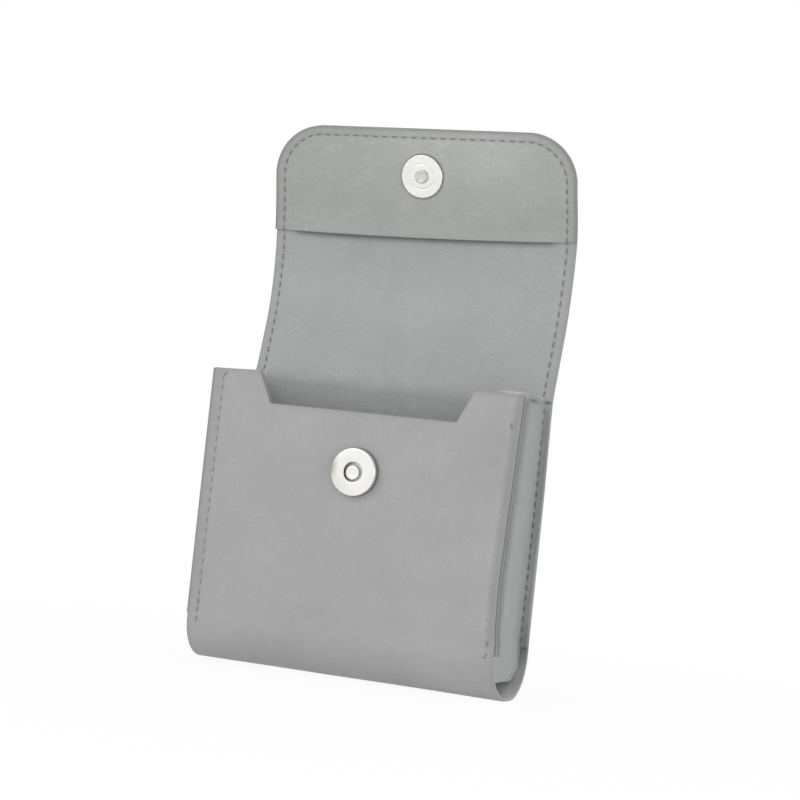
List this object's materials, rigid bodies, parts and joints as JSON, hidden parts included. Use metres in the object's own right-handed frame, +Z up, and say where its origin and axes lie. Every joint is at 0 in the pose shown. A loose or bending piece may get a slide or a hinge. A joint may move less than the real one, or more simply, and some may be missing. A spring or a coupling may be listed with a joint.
{
  "type": "handheld console pouch",
  "caption": "Soft pouch with side gussets, a notched front and a stitched fold-over flap that shuts on a magnetic snap.",
  "frame": {"origin": "centre of the flat strip of leather under the foot, that the pouch stands on", "axes": "+X to the right as seen from the front, +Y from the front panel to the back panel, +Z up, with the flap open above the pouch"},
  "size_m": [0.0962, 0.0386, 0.1628],
  "materials": {
    "leather": "grey coated faux leather with a fine grain and a low sheen",
    "gusset_leather": "thin grey faux leather, a little greener and smoother",
    "lining": "thin grey faux leather, smooth",
    "board": "raw greyboard, hidden",
    "thread": "twisted polyester thread",
    "nickel": "satin nickel plate",
    "steel": "zinc plated sheet",
    "magnet": "sintered ferrite, hidden"
  },
  "bodies": {
    "pouch": {"outer_leather": "leather", "front_board": "board", "back_board": "board", "front_lining": "lining", "back_lining": "lining", "left_gusset": "gusset_leather", "right_gusset": "gusset_leather", "front_left_stitches": "thread", "front_right_stitches": "thread", "back_left_stitches": "thread", "back_right_stitches": "thread", "rear_fold_leather": "leather", "rear_fold_lining": "lining", "socket_cover": "nickel", "socket_magnet": "magnet", "socket_core": "steel", "socket_bracket": "steel", "socket_washer": "steel"},
    "flap_bridge": {"bridge_leather": "leather", "bridge_board": "board", "bridge_lining": "lining", "bridge_stitches": "thread", "front_fold_leather": "leather", "front_fold_lining": "lining"},
    "flap_tip": {"flap_leather": "leather", "flap_board": "board", "flap_lining": "lining", "flap_facing": "leather", "flap_stitches": "thread", "stud_plate": "nickel", "stud_post": "nickel", "stud_bracket": "steel", "stud_washer": "steel"}
  },
  "joints": [
    {"name": "rear_fold", "type": "hinge", "parent": "pouch", "child": "flap_bridge", "pos_m": [0, 0.01487, 0.08929], "axis": [1, 0, 0], "range_deg": [-145, 101.2], "deforming": ["rear_fold_leather", "rear_fold_lining"]},
    {"name": "front_fold", "type": "hinge", "parent": "flap_bridge", "child": "flap_tip", "pos_m": [0, 0.02005, 0.12054], "axis": [1, 0, 0], "range_deg": [-20, 63.5], "deforming": ["front_fold_leather", "front_fold_lining"]}
  ]
}
